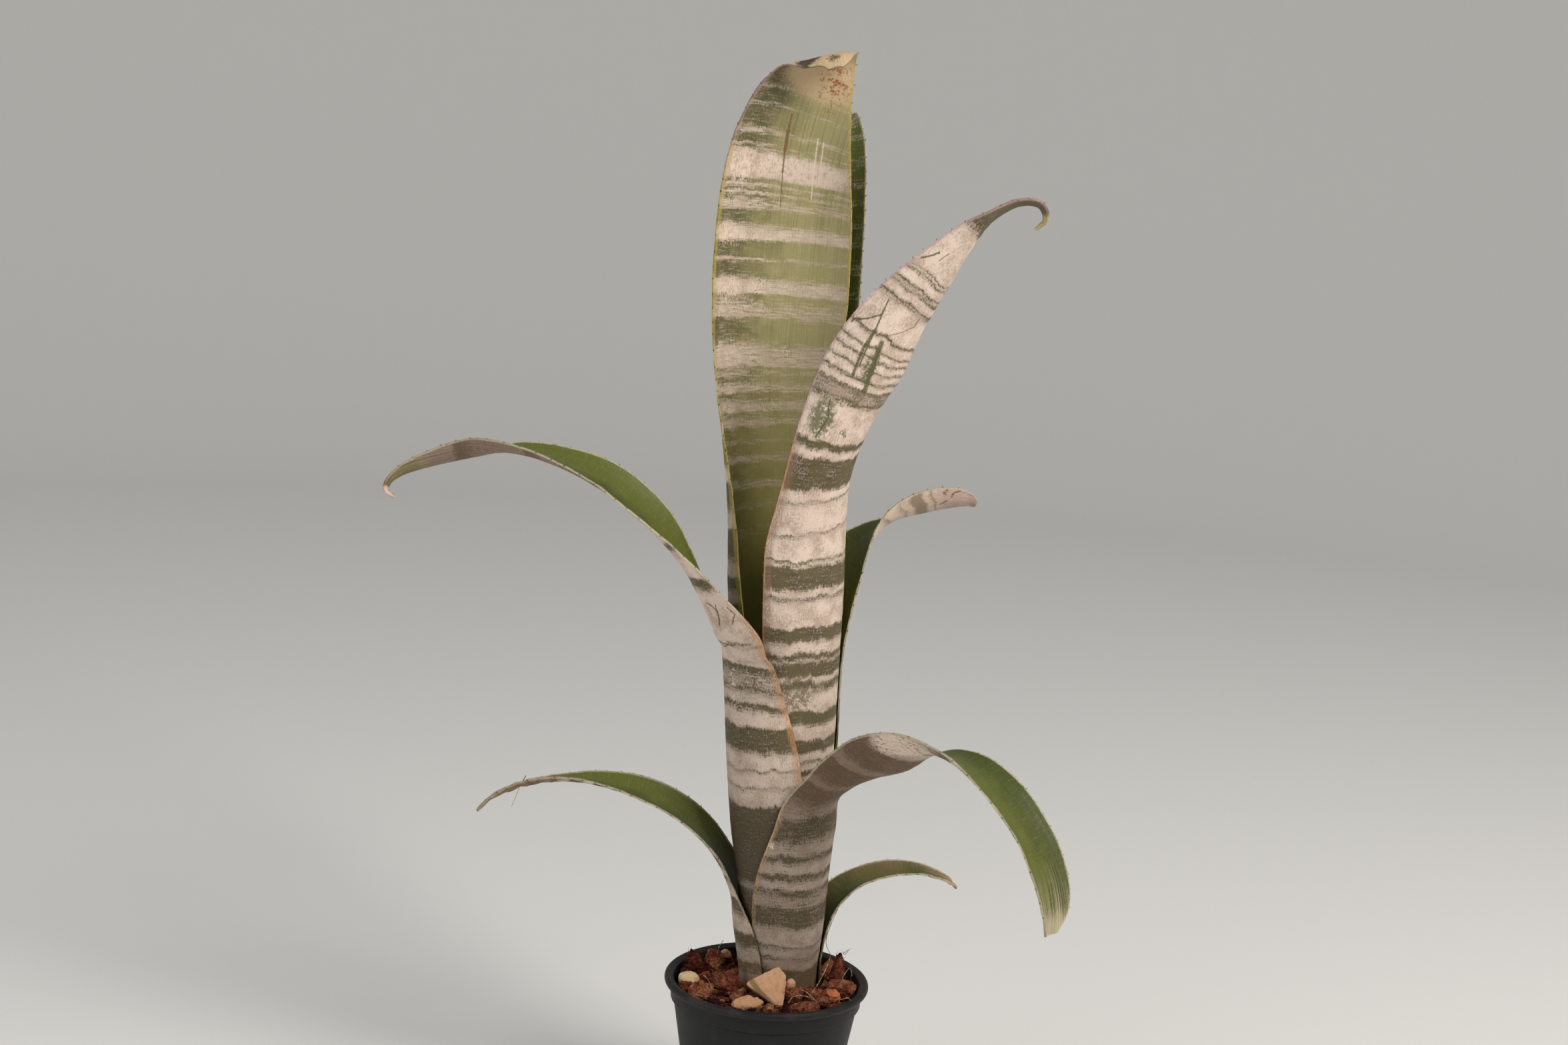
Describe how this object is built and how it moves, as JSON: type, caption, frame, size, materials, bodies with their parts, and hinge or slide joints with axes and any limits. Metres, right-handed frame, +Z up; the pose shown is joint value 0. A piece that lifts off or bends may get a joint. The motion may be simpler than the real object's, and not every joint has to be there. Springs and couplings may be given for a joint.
{
  "type": "potted bromeliad",
  "caption": "Upright tube of banded, spiny-edged bromeliad leaves that arch out of a small round nursery pot of bark mix.",
  "frame": {"origin": "centre of the pot's flat underside", "axes": "+Z up; -Y towards the plant's front, where the broad leaf on the right shows its banded back; +X to the plant's right as seen from the front"},
  "size_m": [0.2419, 0.169, 0.4028],
  "materials": {
    "stem": "matt, pale and fibrous",
    "leaf": "leathery leaf, powdery silver bands over grey-green",
    "pot": "satin black moulded plastic",
    "mix": "rough red-brown bark and husk",
    "cream": "chalky, cream",
    "tan": "matt, tan",
    "rust": "matt, rust-orange"
  },
  "bodies": {
    "root": {"stem_and_roots": "stem", "leaf_right_low": "leaf", "leaf_left_low": "leaf", "leaf_right_front": "leaf", "leaf_left_high": "leaf", "leaf_right_rear": "leaf", "leaf_rear_upright": "leaf", "leaf_right_high": "leaf", "leaf_tall": "leaf", "pot": "pot", "potting_mix": "mix", "pebble_cream": "cream", "stone_cream_rear": "cream", "stone_cream_front": "cream", "chip_tan_wedge": "tan", "chip_tan_small": "tan", "chip_rust": "rust"}
  },
  "joints": []
}
